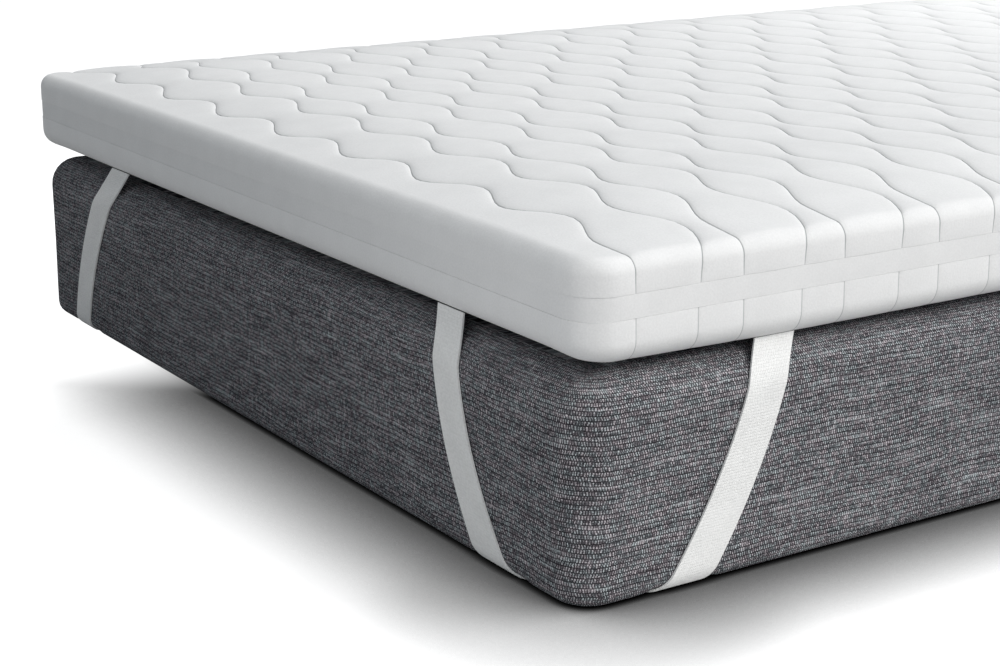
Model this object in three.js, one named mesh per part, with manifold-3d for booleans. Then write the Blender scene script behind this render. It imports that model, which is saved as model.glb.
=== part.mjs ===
// A padded mattress protector with elastic corner straps, lying on a plain mattress.
//
// Units are millimetres and +Z is up. The origin is on the floor under the middle of the mattress.
// +X runs along the length, +Y across the width.
//
// The protector is one filled, quilted pad. Wavy sewn lines run across its width, and a plain band
// goes round its side between two seams. Four flat straps leave it from below. Each runs down a
// short side, diagonally under the mattress corner and up the long side.

import * as THREE from 'three';
import { mergeGeometries, mergeVertices } from 'three/addons/utils/BufferGeometryUtils.js';
import Module from 'manifold-3d';

const wasm = await Module();
wasm.setup();

// ---- driving dimensions -------------------------------------------------------------------

const LENGTH = 2000; // single bed size, along X
const WIDTH = 900; // along Y
const GAP = 0.31; // left between pieces that touch
const CORNER_GAP = 0.45; // left where their facets don't run side by side

const mattressSize = {
  insetX: -2, // of its short sides from the pad's outline: they stand out a little
  insetNear: 2, // of its long side at -Y
  insetFar: 18, // of its long side at +Y
  height: 150,
  cornerRadius: 28, // in plan
  topRadius: 25,
  footRadius: 12,
};

const padSize = {
  cornerRadius: 26, // in plan
  leastRadius: 18, // of a corner of the lower edge, where it draws in
  underside: mattressSize.height + GAP,
  lowerSeam: 187.2,
  upperSeam: 202.5,
  wallTop: 215, // the wall is upright up to here
  turnRadius: 8.5, // from the wall to the top
  swell: 13.5, // rise of the top from its turned edge to the middle
  swellReach: 136, // inset at which the rise is complete
  rimRadius: 16, // of the turn from the wall to the lower cover's underside
  rimLong: 155.8, // where that turn ends, on the long sides
  rimLift: 2.2, // rise of the long sides' lower edge towards the corners
  liftReach: 180, // distance from the corner at which that rise starts
  rimShort: 160.4, // the same on the short sides
  cornerShare: 0.6, // how much of that difference is left where a short side ends
  shareReach: 60, // distance from the corner at which it is whole
  slopeReach: 40, // inset at which the underside comes down to the mattress
};

const quilt = {
  pairs: 23, // of lines whose waves are opposed
  pairPitch: 84,
  pairGap: 49, // between the middles of a pair's two lines
  firstInset: 45.4, // of the first line's middle from the short side at -X
  sway: 9, // a line swings this far each way
  period: 106, // of the wave, along Y
  crest: 91, // distance of the first line's first crest from the long side at -Y
  depth: 3.5, // of the sewn channels below the crowns between them
  notch: 1.2, // depth where a line runs over the edge
};

const bandSize = {
  setBack: 0.4, // from the pad's wall
  thickness: 2.6,
};

const strapSize = {
  width: 30,
  thickness: 1.5,
  leaveAngle: 72, // degrees round the mattress's turned edge, where it leaves for the pad
  riseShort: 30.3, // its straight run up to the pad's lower edge, above a short side
  riseNear: 25.1, // the same above the long side at -Y
  riseFar: 21.2, // and above the one at +Y
};

// Distance of each strap's middle from the corner of the outline, on the short and the long side:
// at the pad, high and middle on the side, and where it turns under.
const strapHeights = { top: 175, high: 130, middle: 75, foot: 15 };
const strapTable = [
  {
    x: -1,
    y: -1,
    short: { top: 164.5, high: 152.5, middle: 136, foot: 100 },
    long: { top: 161.5, high: 144, middle: 122.5, foot: 88 },
  },
  {
    x: -1,
    y: 1,
    short: { top: 190, high: 160, middle: 126.5, foot: 105 },
    long: { top: 162, high: 145, middle: 122, foot: 92 },
  },
  {
    x: 1,
    y: 1,
    short: { top: 169, high: 150, middle: 126, foot: 98 },
    long: { top: 162, high: 145, middle: 122, foot: 92 },
  },
  {
    x: 1,
    y: -1,
    short: { top: 171, high: 155, middle: 132, foot: 100 },
    long: { top: 158, high: 143, middle: 121, foot: 89 },
  },
];

// Resolution.
const EDGE_INSETS = [0, 2.5, 8.5]; // grid lines beside each edge of the quilted top
const ROWS_PER_PERIOD = 4;
const WALL_SKIP = 12; // every so many points of the wall go on below the upper seam
const FOOT_STEPS = 4;
const TURN_STEPS = 4; // of the mattress's turned top edge
const CORNER_DIVISIONS = 4;

// ---- materials ----------------------------------------------------------------------------

const knitWhite = new THREE.MeshStandardMaterial({ color: 0xf1f2f2, roughness: 0.9, metalness: 0 });
const bandWhite = new THREE.MeshStandardMaterial({ color: 0xeceded, roughness: 0.9, metalness: 0 });
const webbingWhite = new THREE.MeshStandardMaterial({ color: 0xe9eae8, roughness: 0.8, metalness: 0 });
const heatherGrey = new THREE.MeshStandardMaterial({ color: 0x535258, roughness: 0.95, metalness: 0 });

// ---- surfaces from rings of points --------------------------------------------------------

// Collects triangles and makes one closed geometry of them.
class Skin {
  constructor() {
    this.corners = [];
  }

  triangle(a, b, c) {
    this.corners.push(a, b, c);
  }

  // A wall between two rings of equal count, which run anticlockwise seen from above.
  wall(upper, lower) {
    upper.forEach((point, index) => {
      const next = (index + 1) % upper.length;
      this.triangle(point, lower[index], lower[next]);
      this.triangle(point, lower[next], upper[next]);
    });
  }

  // A wall from a fine ring to a coarse one below it, whose points stand under fine[kept[i]].
  reduce(fine, coarse, kept) {
    kept.forEach((start, index) => {
      const next = (index + 1) % kept.length;
      const count = (kept[next] - start + fine.length) % fine.length;
      const half = Math.floor(count / 2);
      for (let step = 0; step < count; step += 1) {
        const foot = step < half ? coarse[index] : coarse[next];
        const here = fine[(start + step) % fine.length];
        const there = fine[(start + step + 1) % fine.length];
        this.triangle(here, foot, there);
      }
      this.triangle(fine[(start + half) % fine.length], coarse[index], coarse[next]);
    });
  }

  // Closes a flat ring, facing up or down.
  cap(ring, facingUp) {
    const flat = ring.map((point) => new THREE.Vector2(point.x, point.y));
    for (const [a, b, c] of THREE.ShapeUtils.triangulateShape(flat, [])) {
      if (facingUp) {
        this.triangle(ring[a], ring[b], ring[c]);
      } else {
        this.triangle(ring[a], ring[c], ring[b]);
      }
    }
  }

  geometry() {
    return new THREE.BufferGeometry().setFromPoints(this.corners);
  }
}

function weld(...geometries) {
  const bare = geometries.map((geometry) => {
    const plain = geometry.index ? geometry.toNonIndexed() : geometry;
    plain.deleteAttribute('normal');
    plain.deleteAttribute('uv');
    return plain;
  });
  return mergeVertices(mergeGeometries(bare), 1e-4);
}

function named(name, geometry, material) {
  geometry.computeVertexNormals();
  const mesh = new THREE.Mesh(geometry, material);
  mesh.name = name;
  return mesh;
}

// The nearest point of the rectangle through the centres of the pad's rounded corners.
function coreOf(point) {
  const reachX = LENGTH / 2 - padSize.cornerRadius;
  const reachY = WIDTH / 2 - padSize.cornerRadius;
  const x = THREE.MathUtils.clamp(point.x, -reachX, reachX);
  const y = THREE.MathUtils.clamp(point.y, -reachY, reachY);
  return new THREE.Vector2(x, y);
}

// Moves a point of the pad's rounded outline straight inwards. The corner's radius goes down to
// its least value, and past that the whole rectangle shrinks.
function drawIn(point, amount, z) {
  const { cornerRadius, leastRadius } = padSize;
  const core = coreOf(point);
  const keep = Math.max(leastRadius, cornerRadius - amount) / cornerRadius;
  const shrink = Math.max(0, amount - cornerRadius + leastRadius);
  const coreX = core.x * (1 - shrink / (LENGTH / 2 - cornerRadius));
  const coreY = core.y * (1 - shrink / (WIDTH / 2 - cornerRadius));
  return new THREE.Vector3(coreX + (point.x - core.x) * keep, coreY + (point.y - core.y) * keep, z);
}

// ---- the quilted pad ----------------------------------------------------------------------

// Columns of the top: the edges, each sewn line, and the crown between each two lines.
function quiltColumns() {
  const sewn = [];
  for (let pair = 0; pair < quilt.pairs; pair += 1) {
    const x = quilt.firstInset - LENGTH / 2 + pair * quilt.pairPitch;
    sewn.push({ x, sway: quilt.sway, sewn: true });
    sewn.push({ x: x + quilt.pairGap, sway: -quilt.sway, sewn: true });
  }
  const columns = EDGE_INSETS.map((inset) => ({ x: inset - LENGTH / 2, sway: 0, sewn: false }));
  sewn.forEach((line, index) => {
    if (index > 0) {
      columns.push({ x: (sewn[index - 1].x + line.x) / 2, sway: 0, sewn: false });
    }
    columns.push(line);
  });
  for (const inset of [...EDGE_INSETS].reverse()) {
    columns.push({ x: LENGTH / 2 - inset, sway: 0, sewn: false });
  }
  return columns;
}

// Rows of the top, from the far long side to the near one: the edges, and quarters of the wave.
function quiltRows() {
  const step = quilt.period / ROWS_PER_PERIOD;
  const clear = EDGE_INSETS[EDGE_INSETS.length - 1];
  const inner = [];
  for (let y = quilt.crest % step; y < WIDTH - clear; y += step) {
    if (y > clear) {
      inner.push(y);
    }
  }
  const near = EDGE_INSETS.filter((inset) => inset < clear || inner[0] - clear > clear / 2);
  const lastInner = WIDTH - inner[inner.length - 1];
  const far = EDGE_INSETS.filter((inset) => inset < clear || lastInner - clear > clear / 2);
  const distances = [...near, ...inner, ...far.reverse().map((inset) => WIDTH - inset)];
  return distances.reverse().map((distance) => distance - WIDTH / 2);
}

// Height of the top, without its channels, at an inset from the short and from the long sides.
function topHeight(insetX, insetY) {
  const inset = Math.min(insetX, insetY, padSize.turnRadius);
  const turn = Math.sqrt(padSize.turnRadius ** 2 - (padSize.turnRadius - inset) ** 2);
  const swellX = Math.sin((Math.PI / 2) * Math.min(1, insetX / padSize.swellReach));
  const swellY = Math.sin((Math.PI / 2) * Math.min(1, insetY / padSize.swellReach));
  return padSize.wallTop + turn + padSize.swell * swellX * swellY;
}

function quiltedTop(columns, rows) {
  const top = new THREE.PlaneGeometry(LENGTH, WIDTH, columns.length - 1, rows.length - 1);
  const radius = padSize.cornerRadius;
  rows.forEach((y, row) => {
    const wave = Math.cos((2 * Math.PI * (y + WIDTH / 2 - quilt.crest)) / quilt.period);
    const insetY = WIDTH / 2 - Math.abs(y);
    columns.forEach((column, index) => {
      const x = column.x + column.sway * wave;
      const insetX = LENGTH / 2 - Math.abs(x);
      const onEdge = insetY === 0;
      const height = topHeight(insetX, insetY);
      const crown = Math.min(1, Math.min(insetX, insetY) / padSize.turnRadius) * quilt.depth;
      const z = column.sewn ? height : height + crown;
      const pulled = column.sewn && onEdge ? y - Math.sign(y) * quilt.notch : y;

      // The square corner of the grid closes to a quarter circle.
      const coreX = THREE.MathUtils.clamp(x, radius - LENGTH / 2, LENGTH / 2 - radius);
      const coreY = THREE.MathUtils.clamp(pulled, radius - WIDTH / 2, WIDTH / 2 - radius);
      const reach = Math.hypot(x - coreX, pulled - coreY);
      const square = Math.max(Math.abs(x - coreX), Math.abs(pulled - coreY));
      const keep = reach > 0 ? square / reach : 1;
      const place = [coreX + (x - coreX) * keep, coreY + (pulled - coreY) * keep, z];
      top.attributes.position.setXYZ(row * columns.length + index, ...place);
    });
  });
  return top;
}

// The border points of the top, anticlockwise from the corner at -X and -Y.
function borderOf(top, columnCount, rowCount) {
  const at = (row, column) =>
    new THREE.Vector3().fromBufferAttribute(top.attributes.position, row * columnCount + column);
  const border = [];
  for (let column = 0; column < columnCount - 1; column += 1) {
    border.push(at(rowCount - 1, column));
  }
  for (let row = rowCount - 1; row > 0; row -= 1) {
    border.push(at(row, columnCount - 1));
  }
  for (let column = columnCount - 1; column > 0; column -= 1) {
    border.push(at(0, column));
  }
  for (let row = 0; row < rowCount - 1; row += 1) {
    border.push(at(row, 0));
  }
  return border;
}

// The outline at the wall, without the notches of the lines.
function wallRing(border, z) {
  const radius = padSize.cornerRadius;
  return border.map((point) => {
    const besideX = Math.abs(point.x) > LENGTH / 2 - radius;
    const besideY = Math.abs(point.y) > WIDTH / 2 - radius;
    const y = besideY && !besideX ? (Math.sign(point.y) * WIDTH) / 2 : point.y;
    return new THREE.Vector3(point.x, y, z);
  });
}

// Which points of the wall go on below the upper seam: all at the corners, some on the sides.
function keptPoints(ring) {
  const radius = padSize.cornerRadius;
  const kept = [];
  ring.forEach((point, index) => {
    const insetX = LENGTH / 2 - Math.abs(point.x);
    const insetY = WIDTH / 2 - Math.abs(point.y);
    const atCorner = insetX < radius + quilt.sway && insetY < radius + quilt.sway;
    if (atCorner || index % WALL_SKIP === 0) {
      kept.push(index);
    }
  });
  return kept;
}

const columns = quiltColumns();
const rows = quiltRows();
const quiltedSheet = quiltedTop(columns, rows);
const border = borderOf(quiltedSheet, columns.length, rows.length);
const upperWall = wallRing(border, padSize.upperSeam + 4 * GAP);
const keptWall = keptPoints(upperWall);
const sideOutline = keptWall.map((index) => upperWall[index]);

// Height of the lower edge, which is lifted more on the short sides.
function rimHeight(point) {
  const { lerp, smoothstep } = THREE.MathUtils;
  const endward = Math.abs(point.x - coreOf(point).x) / padSize.cornerRadius;
  const share = smoothstep(WIDTH / 2 - Math.abs(point.y), 0, padSize.shareReach);
  const lift = 1 - smoothstep(LENGTH / 2 - Math.abs(point.x), 0, padSize.liftReach);
  const longHeight = padSize.rimLong + padSize.rimLift * lift;
  return lerp(longHeight, padSize.rimShort, endward * lerp(padSize.cornerShare, 1, share));
}

function quiltedPad() {
  const skin = new Skin();
  const grooveTop = padSize.upperSeam + GAP;
  const grooveFoot = padSize.lowerSeam - GAP;
  const grooveDepth = bandSize.setBack + bandSize.thickness + CORNER_GAP;
  const lip = sideOutline.map((point) => drawIn(point, 0, grooveTop));
  skin.wall(border, upperWall);
  skin.reduce(upperWall, lip, keptWall);

  const rings = [lip];
  rings.push(sideOutline.map((point) => drawIn(point, grooveDepth, grooveTop)));
  rings.push(sideOutline.map((point) => drawIn(point, grooveDepth, grooveFoot)));
  rings.push(sideOutline.map((point) => drawIn(point, 0, grooveFoot)));
  for (let step = 0; step <= FOOT_STEPS; step += 1) {
    const angle = (Math.PI / 2) * (step / FOOT_STEPS);
    const inwards = padSize.rimRadius * (1 - Math.cos(angle));
    const above = padSize.rimRadius * (1 - Math.sin(angle));
    rings.push(sideOutline.map((point) => drawIn(point, inwards, rimHeight(point) + above)));
  }
  rings.push(sideOutline.map((point) => drawIn(point, padSize.slopeReach, padSize.underside)));
  for (let index = 0; index < rings.length - 1; index += 1) {
    skin.wall(rings[index], rings[index + 1]);
  }
  skin.cap(rings[rings.length - 1], false);
  return named('quilted_topper', weld(quiltedSheet, skin.geometry()), knitWhite);
}

function sideBand() {
  const outer = bandSize.setBack;
  const inner = bandSize.setBack + bandSize.thickness;
  const ring = (amount, z) => sideOutline.map((point) => drawIn(point, amount, z));
  const top = [ring(outer, padSize.upperSeam), ring(inner, padSize.upperSeam)];
  const foot = [ring(outer, padSize.lowerSeam), ring(inner, padSize.lowerSeam)];
  const skin = new Skin();
  skin.wall(top[0], foot[0]);
  skin.wall(foot[0], foot[1]);
  skin.wall(foot[1], top[1]);
  skin.wall(top[1], top[0]);
  return named('side_band', weld(skin.geometry()), bandWhite);
}

// ---- the straps ---------------------------------------------------------------------------

// The strap's way from the pad's lower edge down the mattress's side to the floor. Each station
// has its inset from the pad's outline and its height, on the strap's inner face, the direction
// outwards and upwards in which its thickness goes, and its unrolled height.
function sideStations(faceInset, rise) {
  const lift = strapSize.thickness + GAP;
  const topRadius = mattressSize.topRadius + GAP;
  const footRadius = mattressSize.footRadius + GAP;
  const topZ = mattressSize.height - mattressSize.topRadius;
  const footZ = mattressSize.footRadius + lift;
  const leave = THREE.MathUtils.degToRad(strapSize.leaveAngle);
  const stations = [leave, Math.PI / 2].map((angle) => ({
    inset: faceInset + mattressSize.topRadius - topRadius * Math.sin(angle),
    z: topZ + topRadius * Math.cos(angle),
    out: Math.sin(angle),
    up: Math.cos(angle),
  }));
  const [top] = stations;
  stations.unshift({ ...top, inset: top.inset + rise * top.up, z: top.z + rise * top.out });
  for (const share of [0.25, 0.5, 0.75]) {
    const z = THREE.MathUtils.lerp(topZ, footZ, share);
    stations.push({ inset: faceInset - GAP, z, out: 1, up: 0 });
  }
  for (let step = 0; step <= FOOT_STEPS; step += 1) {
    const angle = (Math.PI / 2) * (step / FOOT_STEPS);
    stations.push({
      inset: faceInset + mattressSize.footRadius - footRadius * Math.cos(angle),
      z: footZ - footRadius * Math.sin(angle),
      out: Math.cos(angle),
      up: -Math.sin(angle),
      turnsUnder: true,
    });
  }
  let unrolled = 0;
  for (let index = stations.length - 1; index >= 0; index -= 1) {
    const below = stations[index + 1] ?? stations[index];
    const here = stations[index];
    unrolled += Math.hypot(here.inset - below.inset, here.z - below.z);
    here.unrolled = unrolled;
  }
  return stations;
}

// A leg's distance from the corner and its slope: a parabola through its three lower places, and
// above them a second one that goes on smoothly to the top place.
function legPlace(leg, unrolled) {
  const { top, high, middle, foot } = strapHeights;
  const bent = Math.min(unrolled, high);
  const lower = (leg.middle - leg.foot) / (middle - foot);
  const upper = (leg.high - leg.middle) / (high - middle);
  const bend = (upper - lower) / (high - foot);
  const offset = leg.foot + (bent - foot) * (lower + bend * (bent - middle));
  const slope = lower + bend * (2 * bent - middle - foot);
  const beyond = unrolled - bent;
  const turn = (leg.top - leg.high - slope * (top - high)) / (top - high) ** 2;
  return { offset: offset + beyond * (slope + turn * beyond), slope: slope + 2 * turn * beyond };
}

// Stations of one leg in space, each with its edge beside the corner and its far edge.
function legStations(corner, leg, out, along, halfWidth) {
  const origin = new THREE.Vector3((corner.x * LENGTH) / 2, (corner.y * WIDTH) / 2, 0);
  const onShortSide = out.x !== 0;
  const longInset = corner.y < 0 ? mattressSize.insetNear : mattressSize.insetFar;
  const longRise = corner.y < 0 ? strapSize.riseNear : strapSize.riseFar;
  const faceInset = onShortSide ? mattressSize.insetX : longInset;
  const rise = onShortSide ? strapSize.riseShort : longRise;
  return sideStations(faceInset, rise).map((station) => {
    const { offset, slope } = legPlace(leg, station.unrolled);
    const reach = halfWidth * Math.hypot(1, slope);
    const normal = out.clone().multiplyScalar(station.out).setZ(station.up);
    const base = origin.clone().addScaledVector(out, -station.inset).setZ(station.z);
    const heading = out.clone().negate().addScaledVector(along, -slope).normalize();
    return {
      beside: base.clone().addScaledVector(along, offset - reach),
      away: base.clone().addScaledVector(along, offset + reach),
      normal,
      heading,
      turnsUnder: station.turnsUnder,
    };
  });
}

function strapStations(corner, halfWidth) {
  const outShort = new THREE.Vector3(corner.x, 0, 0);
  const outLong = new THREE.Vector3(0, corner.y, 0);
  const short = legStations(corner, corner.short, outShort, outLong.clone().negate(), halfWidth);
  const long = legStations(corner, corner.long, outLong, outShort.clone().negate(), halfWidth);
  const from = short[short.length - 1];
  const to = long[long.length - 1];
  const middle = ['beside', 'away'].map((edge) => {
    const handle = from[edge].distanceTo(to[edge]) / 3;
    const start = from[edge].clone().addScaledVector(from.heading, handle);
    const end = to[edge].clone().addScaledVector(to.heading, handle);
    return new THREE.CubicBezierCurve3(from[edge], start, end, to[edge]);
  });
  const under = [0.25, 0.5, 0.75].map((share) => ({
    beside: middle[0].getPoint(share),
    away: middle[1].getPoint(share),
    normal: new THREE.Vector3(0, 0, -1),
    turnsUnder: true,
  }));
  return [...short, ...under, ...long.reverse()];
}

// A box of one segment per station, bent along them, from one depth to another.
function ribbon(stations, corner, innerDepth, outerDepth) {
  const box = new THREE.BoxGeometry(1, 1, 1, stations.length - 1, 1, 1);
  const place = box.attributes.position;
  for (let index = 0; index < place.count; index += 1) {
    const station = stations[Math.round((place.getX(index) + 0.5) * (stations.length - 1))];
    const besideCorner = place.getY(index) * corner.x * corner.y > 0;
    const depth = place.getZ(index) > 0 ? outerDepth : innerDepth;
    const edge = besideCorner ? station.beside : station.away;
    const point = edge.clone().addScaledVector(station.normal, depth);
    place.setXYZ(index, point.x, point.y, point.z);
  }
  return weld(box);
}

function strap(corner, number) {
  const stations = strapStations(corner, strapSize.width / 2);
  return named(`strap_corner_${number}`, ribbon(stations, corner, 0, strapSize.thickness), webbingWhite);
}

// The shallow bed that a strap presses into the foot of the mattress.
function strapBed(corner) {
  const stations = strapStations(corner, strapSize.width / 2 + 2 * CORNER_GAP);
  const under = stations.filter((station) => station.turnsUnder);
  return ribbon(under, corner, -CORNER_GAP, 2 * strapSize.thickness);
}

// ---- the mattress -------------------------------------------------------------------------

function roundedOutline(inset, z) {
  const { insetX, insetNear, insetFar, cornerRadius } = mattressSize;
  const radius = cornerRadius - inset;
  const x = LENGTH / 2 - insetX - cornerRadius;
  const near = WIDTH / 2 - insetNear - cornerRadius;
  const far = WIDTH / 2 - insetFar - cornerRadius;
  const quarter = Math.PI / 2;
  const shape = new THREE.Shape();
  shape.absarc(-x, -near, radius, 2 * quarter, 3 * quarter);
  shape.absarc(x, -near, radius, 3 * quarter, 4 * quarter);
  shape.absarc(x, far, radius, 0, quarter);
  shape.absarc(-x, far, radius, quarter, 2 * quarter);
  return shape.getPoints(CORNER_DIVISIONS).map((point) => new THREE.Vector3(point.x, point.y, z));
}

function mattressBlock() {
  const { height, topRadius, footRadius } = mattressSize;
  const rings = [];
  for (let step = 0; step <= TURN_STEPS; step += 1) {
    const angle = (Math.PI / 2) * (step / TURN_STEPS);
    const z = height - topRadius * (1 - Math.cos(angle));
    rings.push(roundedOutline(topRadius * (1 - Math.sin(angle)), z));
  }
  for (let step = 0; step <= FOOT_STEPS; step += 1) {
    const angle = (Math.PI / 2) * (step / FOOT_STEPS);
    const z = footRadius * (1 - Math.sin(angle));
    rings.push(roundedOutline(footRadius * (1 - Math.cos(angle)), z));
  }
  const skin = new Skin();
  skin.cap(rings[0], true);
  for (let index = 0; index < rings.length - 1; index += 1) {
    skin.wall(rings[index], rings[index + 1]);
  }
  skin.cap(rings[rings.length - 1], false);
  return weld(skin.geometry());
}

function toSolid(geometry) {
  const vertProperties = new Float32Array(geometry.attributes.position.array);
  const triVerts = new Uint32Array(geometry.index.array);
  return new wasm.Manifold(new wasm.Mesh({ numProp: 3, vertProperties, triVerts }));
}

function fromSolid(solid) {
  const mesh = solid.getMesh();
  const geometry = new THREE.BufferGeometry();
  geometry.setAttribute('position', new THREE.BufferAttribute(new Float32Array(mesh.vertProperties), 3));
  geometry.setIndex(new THREE.BufferAttribute(new Uint32Array(mesh.triVerts), 1));
  return geometry;
}

function mattress() {
  let solid = toSolid(mattressBlock());
  for (const corner of strapTable) {
    solid = solid.subtract(toSolid(strapBed(corner)));
  }
  return named('mattress', fromSolid(solid), heatherGrey);
}

// ---- the whole object ---------------------------------------------------------------------

const protector = new THREE.Group();
protector.add(quiltedPad(), sideBand());
strapTable.forEach((corner, index) => protector.add(strap(corner, index + 1)));
protector.add(mattress());

export default protector;
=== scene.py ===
"""A quilted mattress protector with elastic corner straps, lying on a covered mattress.

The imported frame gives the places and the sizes. This script makes the cloth: the quilted pad with
its wavy sewn lines, the plain side band, the four straps and the mattress in its heathered cover.
Lengths are in metres unless a name ends in _mm. +X runs along the bed, +Y across it and +Z up.
"""

import logging
import math
from dataclasses import dataclass, field
from enum import Enum

import bmesh
import bpy
from mathutils import Matrix, Vector


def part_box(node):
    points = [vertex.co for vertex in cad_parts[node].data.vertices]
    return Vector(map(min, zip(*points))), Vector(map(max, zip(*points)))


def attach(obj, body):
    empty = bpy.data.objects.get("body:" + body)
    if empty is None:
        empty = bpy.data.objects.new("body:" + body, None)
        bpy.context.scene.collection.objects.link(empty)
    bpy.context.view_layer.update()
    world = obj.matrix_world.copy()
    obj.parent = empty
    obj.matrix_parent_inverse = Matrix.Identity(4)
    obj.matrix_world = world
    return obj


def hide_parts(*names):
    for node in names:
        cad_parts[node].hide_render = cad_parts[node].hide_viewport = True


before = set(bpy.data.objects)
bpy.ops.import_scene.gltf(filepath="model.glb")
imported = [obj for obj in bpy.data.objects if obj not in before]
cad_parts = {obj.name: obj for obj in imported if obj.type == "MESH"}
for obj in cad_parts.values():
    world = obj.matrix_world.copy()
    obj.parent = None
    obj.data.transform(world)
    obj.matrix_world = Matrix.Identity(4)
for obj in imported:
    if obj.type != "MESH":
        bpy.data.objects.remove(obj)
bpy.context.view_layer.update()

MM = 0.001
QUARTER = math.pi / 2
SHARP = math.radians(50)
BODY = "root"
# How far the straps rise past the mattress's turned edge, on the short and the two long sides.
RISE_SHORT, RISE_NEAR, RISE_FAR = 30.3 * MM, 25.1 * MM, 21.2 * MM
LOG = logging.getLogger("mattress_protector")

Shape, Vert, Edge = bmesh.types.BMesh, bmesh.types.BMVert, bmesh.types.BMEdge
Piece, Material, Group = bpy.types.Object, bpy.types.Material, bpy.types.ShaderNodeTree
Socket = bpy.types.NodeSocket
Value = float | Socket


class Axis(Enum):
    """The side of the bed that a strap's leg lies on."""

    SHORT = 0
    LONG = 1


# Helpers for meshes.


def clamp(value: float, low: float, high: float) -> float:
    """The value, kept between low and high."""
    return max(low, min(high, value))


def lerp(first: float, second: float, share: float) -> float:
    """The value that lies share of the way from first to second."""
    return first + (second - first) * share


def ease(share: float) -> float:
    """A smooth step from 0 to 1."""
    share = clamp(share, 0.0, 1.0)
    return share * share * (3 - 2 * share)


def finish_mesh(name: str, shape: Shape, material: Material) -> Piece:
    """Makes a smooth shaded object of a bmesh.

    Args:
        name: the piece's name.
        shape: the finished bmesh, which is freed.
        material: its finish.

    Returns:
        The new object, at the origin. Its steep edges stay sharp.
    """
    mesh = bpy.data.meshes.new(name)
    shape.normal_update()
    for edge in shape.edges:
        edge.smooth = edge.calc_face_angle(0.0) < SHARP
    shape.to_mesh(mesh)
    shape.free()
    mesh.materials.append(material)
    mesh.shade_smooth()
    piece = bpy.data.objects.new(name, mesh)
    bpy.context.scene.collection.objects.link(piece)
    return piece


def loop_edges(shape: Shape, loop: list[Vert]) -> list[Edge]:
    """The edges of a closed loop of vertices, in order."""
    return [shape.edges.get(pair) for pair in zip(loop, loop[1:] + loop[:1])]


def extrude_loop(shape: Shape, loop: list[Vert]) -> list[Vert]:
    """Extrudes a closed loop of vertices.

    Args:
        shape: the bmesh that holds the loop.
        loop: the loop's vertices in order.

    Returns:
        The new loop, in the same order and still in the same place.
    """
    made = bmesh.ops.extrude_edge_only(shape, edges=loop_edges(shape, loop))["geom"]
    fresh = {item for item in made if isinstance(item, Vert)}
    return [
        next(edge.other_vert(vert) for edge in vert.link_edges if edge.other_vert(vert) in fresh)
        for vert in loop
    ]


def box_of(node: str) -> tuple[Vector, Vector]:
    """The low and the high corner of a CAD node's box."""
    low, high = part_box(node)
    return Vector(low), Vector(high)


def declare(piece: Piece, node: str) -> None:
    """Lets a piece ride on the body in place of a CAD node, and hides that node.

    Args:
        piece: the piece.
        node: the CAD node that it stands for.
    """
    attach(piece, BODY)
    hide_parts(node)
    LOG.info("%s: %d faces", piece.name, len(piece.data.polygons))


@dataclass(frozen=True)
class RoundedPlan:
    """A rectangle with rounded corners, seen from above."""

    half_length: float
    half_width: float
    radius: float
    least: float = 0.0

    def core(self, x: float, y: float) -> tuple[float, float]:
        """The nearest point of the inner rectangle through the corners' centres.

        Args:
            x: the place along the bed.
            y: the place across it.

        Returns:
            That point's x and y.
        """
        reach_x = self.half_length - self.radius
        reach_y = self.half_width - self.radius
        return clamp(x, -reach_x, reach_x), clamp(y, -reach_y, reach_y)

    def settle(self, x: float, y: float, pull: float = 0.0) -> tuple[float, float, Vector]:
        """Rounds the corner of a square grid, and draws a point of the outline inwards.

        The corner's radius goes down to its least value. Past that the whole rectangle shrinks.

        Args:
            x: the point's place in the square grid.
            y: the same across.
            pull: how far the outline is drawn in.

        Returns:
            The point's x and y, and the direction outwards.
        """
        core_x, core_y = self.core(x, y)
        over_x, over_y = x - core_x, y - core_y
        reach = math.hypot(over_x, over_y)
        if reach == 0:
            return x, y, Vector((0, 0, 0))
        outwards = Vector((over_x / reach, over_y / reach, 0))
        span = max(abs(over_x), abs(over_y)) * max(self.radius - pull, self.least) / self.radius
        shrink = max(0.0, pull - self.radius + self.least)
        core_x *= 1 - shrink / (self.half_length - self.radius)
        core_y *= 1 - shrink / (self.half_width - self.radius)
        return core_x + outwards.x * span, core_y + outwards.y * span, outwards

    def along(self, x: float, y: float) -> float:
        """The distance round the outline to the place beside a point.

        Args:
            x: the point's place along the bed.
            y: its place across.

        Returns:
            The distance from the middle of the side at -X, positive on the side towards +Y. It
            wraps in the middle of the side at +X.
        """
        core_x, core_y = self.core(x, y)
        reach_x, reach_y = self.half_length - self.radius, self.half_width - self.radius
        arc = self.radius * QUARTER
        beyond_x, beyond_y = abs(x - core_x), abs(y - core_y)
        inside = max(beyond_x, beyond_y) < 1e-9
        beside_end = self.half_length - abs(x) < self.half_width - abs(y)
        on_end = beside_end if inside else beyond_x > 1e-9
        on_side = not beside_end if inside else beyond_y > 1e-9
        turn = math.atan2(beyond_y, beyond_x) * self.radius
        if on_end and on_side:
            way = reach_y + (turn if x < 0 else 2 * arc + 2 * reach_x - turn)
        elif on_end:
            way = abs(y) if x < 0 else 2 * (reach_y + arc + reach_x) - abs(y)
        else:
            way = reach_y + arc + reach_x + x
        return math.copysign(way, y)


# Helpers for materials.


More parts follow.
